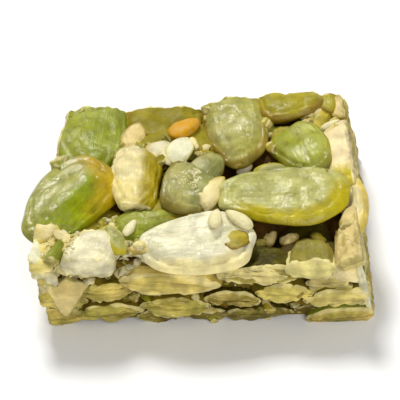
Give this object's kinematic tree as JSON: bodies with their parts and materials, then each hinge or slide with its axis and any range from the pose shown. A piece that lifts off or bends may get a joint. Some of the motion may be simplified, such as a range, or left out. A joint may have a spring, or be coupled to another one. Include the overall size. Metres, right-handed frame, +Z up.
{
  "type": "pumpkin seed brittle",
  "caption": "Small hand-cut tile of green pumpkin kernels set in boiled sugar, with sesame on top and sliced kernels showing at its cut sides.",
  "frame": {"origin": "on the flat base, under the middle of the tile", "axes": "+X along the tile's long edges, +Y from the front cut to the back cut, +Z up through its thickness"},
  "size_m": [0.0394, 0.029, 0.0126],
  "materials": {
    "brittle": "green pumpkin kernels, cream cut flesh and sesame in a thin glossy sugar binder",
    "kernel": "green kernel skin, wrinkled lengthwise, with a thin patchy sugar gloss",
    "flesh": "cream to pale green flesh of sliced and peeled kernels",
    "sesame": "cream sesame, some of it toasted",
    "sugar": "olive boiled sugar with ground kernel in it"
  },
  "bodies": {
    "root": {"brittle": "brittle"}
  },
  "joints": []
}
